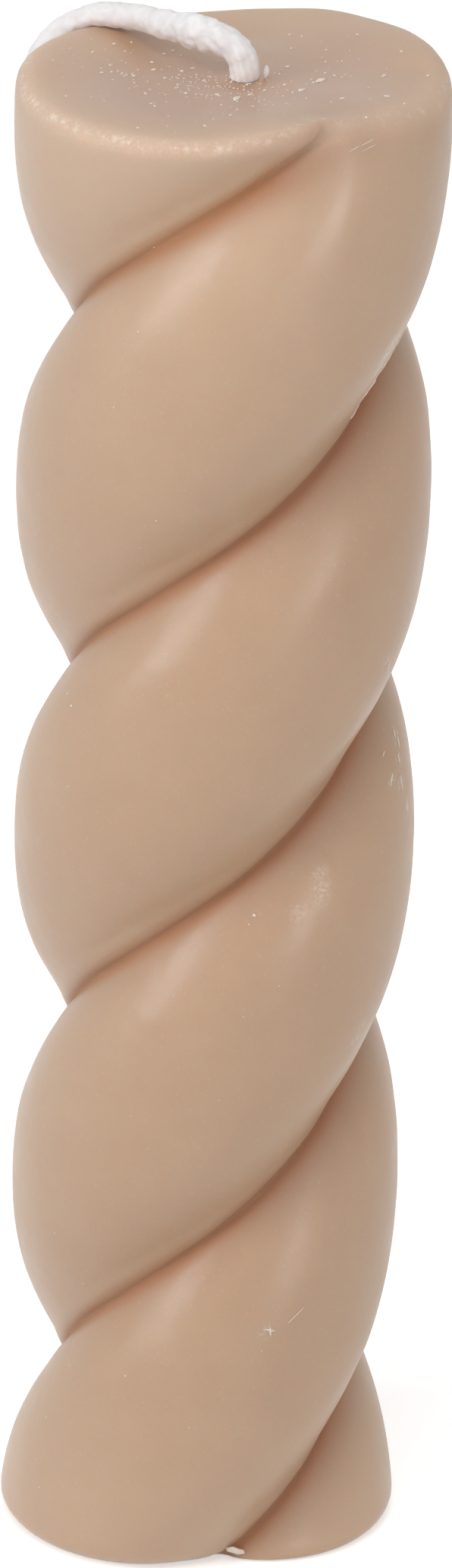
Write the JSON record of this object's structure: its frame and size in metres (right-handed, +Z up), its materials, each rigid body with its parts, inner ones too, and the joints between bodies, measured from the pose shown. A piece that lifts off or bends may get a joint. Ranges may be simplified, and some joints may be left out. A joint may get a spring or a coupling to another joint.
{
  "type": "twisted pillar candle",
  "caption": "Pillar candle of pale brown wax, a right-handed twist of two lobes, with a braided wick that bends over the rim.",
  "frame": {"origin": "middle of the flat base, on the surface that the candle stands on", "axes": "+Z up along the candle's axis; the camera of the picture looks along +Y, with +X to the right"},
  "size_m": [0.0414, 0.04, 0.1545],
  "materials": {
    "wax": "satin, slightly translucent wax",
    "wick_cotton": "braided cotton with a thin coat of wax"
  },
  "bodies": {
    "root": {"wax_body": "wax", "wick_core": "wick_cotton", "wick_free_end": "wick_cotton"}
  },
  "joints": []
}
